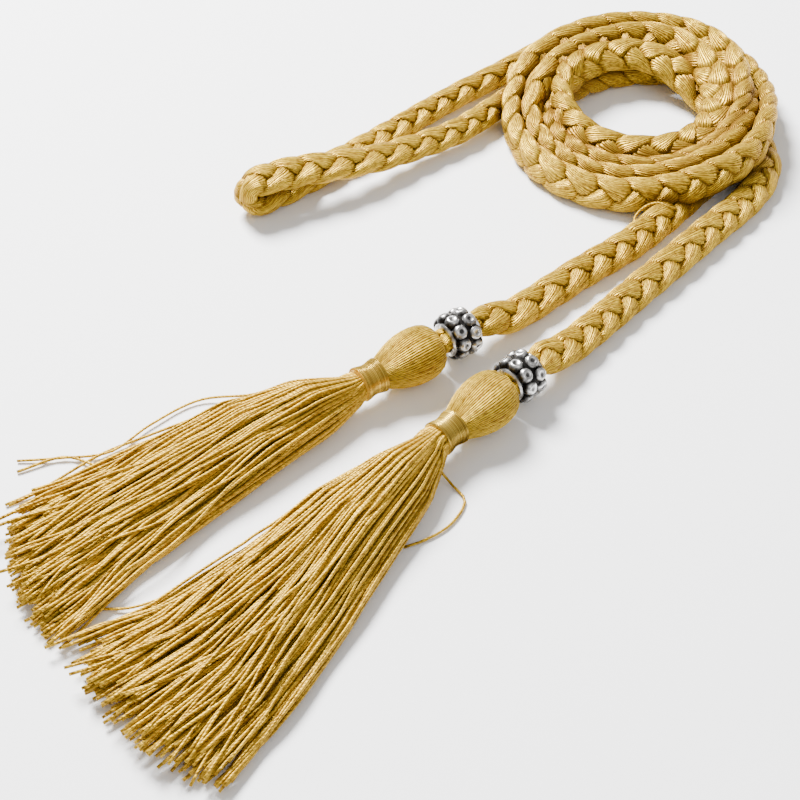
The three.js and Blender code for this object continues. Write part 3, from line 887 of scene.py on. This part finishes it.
for number, end in enumerate(ENDS, 1):
    dice = random.Random(SEED + number)
    head_top = BEAD_LENGTH / 2 + end.stub / 1000
    place = np.array(end_place(end))
    profile = [(head_top + along * HEAD_LENGTH, radius * HEAD_RADIUS) for along, radius in HEAD_SHAPE]
    head = turned_piece(f"tassel_head_{number}", profile, HEAD_THREADS * 4)
    for vert in head.data.vertices:
        turn = math.atan2(vert.co.y, vert.co.x)
        ridge = abs(math.sin(turn * HEAD_THREADS / 2 + math.pi * HEAD_SLANT * vert.co.z))
        vert.co.xy *= 1 - HEAD_GROOVE + HEAD_GROOVE * ridge**0.6
    wrap_uv(head)
    put_on_end(head, end)
    head.data.materials.append(head_gold)
    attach(head, "root")

    lines, levels = skirt_threads(end, SKIRT_SECTIONS[number - 1], *SKIRT_TIPS[number - 1], dice)
    lines = [line @ place[:3, :3].T + place[:3, 3] for line in lines]
    for stray in STRAYS_MM[number - 1]:
        points = np.array([laid(*point) for point in stray])
        lines.append(smooth_line(points, STRAY_STEP)[0])
        levels.append(1.0)
    rings = [thread_rings(line, THREAD_RADIUS * dice.uniform(*THREAD_UNEVEN)) for line in lines]
    runs = [run_along(line) for line in lines]
    shades = [dice.random() for _ in lines]
    buried_shade = [BURIED_SHADE * (1 - level) * dice.uniform(*BURIED_SHADE_SHARE) for level in levels]
    skirt = tube_mesh(f"tassel_skirt_{number}", rings, runs, shades, buried_shade)
    skirt.data.materials.append(tassel_gold)
    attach(skirt, "root")
    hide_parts(f"tassel_{number}")


# The loose thread. One thread has been pulled out of the plait in a small loop, where the first leg leaves
# the coil. Both its ends go back into the plait.
LOOSE_THREAD_MM = [
    (79.5, 71.8, 6.2), (77.3, 71.3, 7.2), (74.8, 72.6, 7.6), (72, 73.2, 6.6), (69.4, 72.6, 4.8),
    (67.8, 70.6, 3.6), (67.9, 68.2, 3), (69.8, 66.6, 3),
]
LOOSE_STEP = 0.0005
LOOSE_SHADE = 0.6
loose_points = np.array([laid(*point) for point in LOOSE_THREAD_MM])
loose_line, loose_run = smooth_line(loose_points, LOOSE_STEP)
loose_rings = [thread_rings(loose_line, THREAD_RADIUS)]
loose_thread = tube_mesh("loose_thread", loose_rings, [loose_run], [LOOSE_SHADE], [0.0])
loose_thread.data.materials.append(tassel_gold)
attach(loose_thread, "root")


# The bindings. Fine shiny thread is wound tight round each tassel's neck, turn beside turn. It holds the
# doubled threads together under the head, and draws in a little halfway down.
BINDING_TURNS = 17
BINDING_RADIUS = 0.0043
BINDING_WAIST = 0.00025
BINDING_SIDES = 48
TURN_PROUD = 0.55
binding_gold = thread_material(
    "binding gold", threads=1, slant=BINDING_TURNS / BINDING_LENGTH, gloss=0.24, depth=0.0005, gilt=0.6,
    dark=(0.34, 0.19, 0.02, 1), bright=(1.0, 0.72, 0.13, 1))
for number, end in enumerate(ENDS, 1):
    start = BEAD_LENGTH / 2 + end.stub / 1000 + HEAD_LENGTH
    pitch = BINDING_LENGTH / BINDING_TURNS
    profile = []
    for turn in range(BINDING_TURNS):
        for bulge in (0, 0.25, 0.5, 0.75):
            waist = BINDING_WAIST * math.cos(math.pi * (turn + bulge) / BINDING_TURNS * 2)
            proud = TURN_PROUD * pitch * math.sin(math.pi * bulge) + waist
            profile.append((start + (turn + bulge) * pitch, BINDING_RADIUS + proud))
    profile.append((start + BINDING_LENGTH, BINDING_RADIUS))
    binding = turned_piece(f"binding_thread_{number}", profile, BINDING_SIDES)
    wrap_uv(binding)
    put_on_end(binding, end)
    binding.data.materials.append(binding_gold)
    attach(binding, "root")
    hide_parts(f"binding_{number}")


# The floor is a plain pale board. A soft light stands above it and behind the coil, with a faint one in front
# and a pale surround, so that the shadows are faint and fall towards the camera.
FLOOR_SIZE = 8
FLOOR_WHITE = (0.95, 0.95, 0.955, 1)
SURROUND = 0.6
bpy.ops.object.select_all(action="DESELECT")
bpy.ops.mesh.primitive_plane_add(size=FLOOR_SIZE, location=(0, 0, 0))
floor = bpy.context.object
floor.name = "floor"
floor_white, floor_shader, _ = new_material("floor white", roughness=0.7)
floor_shader.inputs["Base Color"].default_value = FLOOR_WHITE
floor.data.materials.append(floor_white)


def soft_light(name, place, size, power):
    light = bpy.data.lights.new(name, "AREA")
    light.shape = "DISK"
    light.size = size
    light.energy = power
    lamp = bpy.data.objects.new(name, light)
    bpy.context.scene.collection.objects.link(lamp)
    lamp.location = place
    lamp.rotation_euler = (-Vector(place)).to_track_quat("-Z", "Y").to_euler()


soft_light("key", place=(-0.5, 0.75, 1.0), size=0.55, power=104)
soft_light("fill", place=(0.6, -0.7, 1.0), size=1.1, power=4)
world = bpy.data.worlds.new("studio")
world.use_nodes = True
surround = world.node_tree.nodes["Background"]
surround.inputs["Color"].default_value = (1, 1, 1, 1)
surround.inputs["Strength"].default_value = SURROUND
bpy.context.scene.world = world
